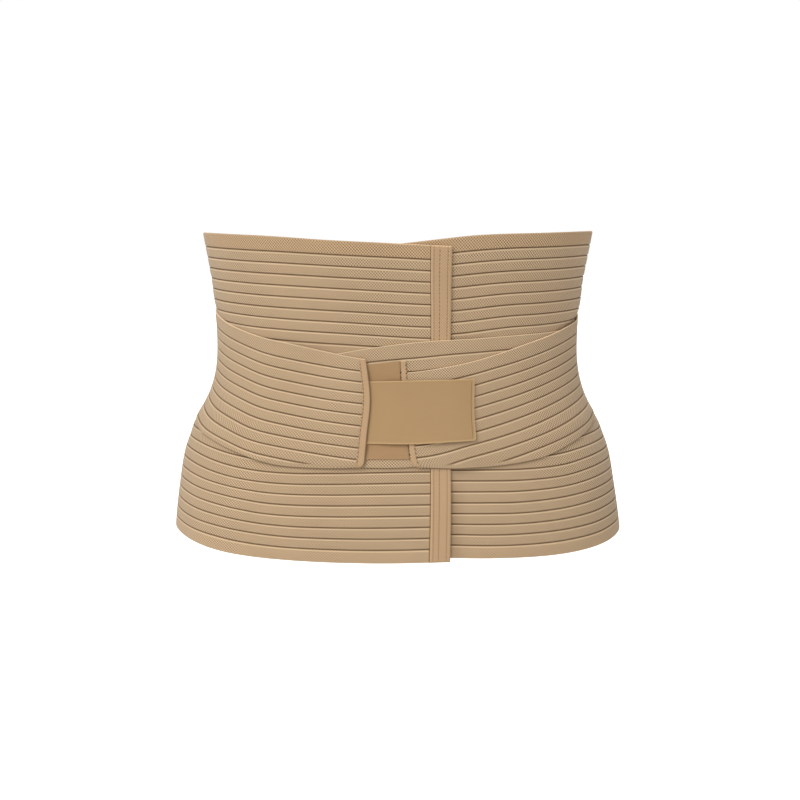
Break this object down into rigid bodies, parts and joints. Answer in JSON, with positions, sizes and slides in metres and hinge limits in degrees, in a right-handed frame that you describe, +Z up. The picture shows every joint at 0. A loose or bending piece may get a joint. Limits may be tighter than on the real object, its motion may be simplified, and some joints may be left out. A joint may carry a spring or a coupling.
{
  "type": "lumbosacral brace",
  "caption": "Tall ribbed elastic belt worn round the waist and hips, tightened by ribbed straps that meet at the front under a smooth hook tab.",
  "frame": {"origin": "middle of the waist hollow, at the height where the belt is narrowest", "axes": "+Z up along the wearer's trunk, -Y towards the front where the straps close, +X to the right of the front view"},
  "size_m": [0.3801, 0.2762, 0.2566],
  "materials": {
    "ribbed_elastic": "matte ribbed woven elastic, beige",
    "binding_tape": "matte folded knit tape, beige",
    "hook_fabric": "smooth matte tan fabric",
    "loop_fabric": "soft brushed tan loop fabric"
  },
  "bodies": {
    "root": {"main_belt": "ribbed_elastic", "front_binding": "binding_tape", "inner_strap": "ribbed_elastic", "loop_patch": "loop_fabric", "right_strap": "ribbed_elastic", "right_strap_binding": "binding_tape", "left_strap": "ribbed_elastic", "left_strap_binding": "binding_tape", "hook_tab": "hook_fabric"}
  },
  "joints": []
}
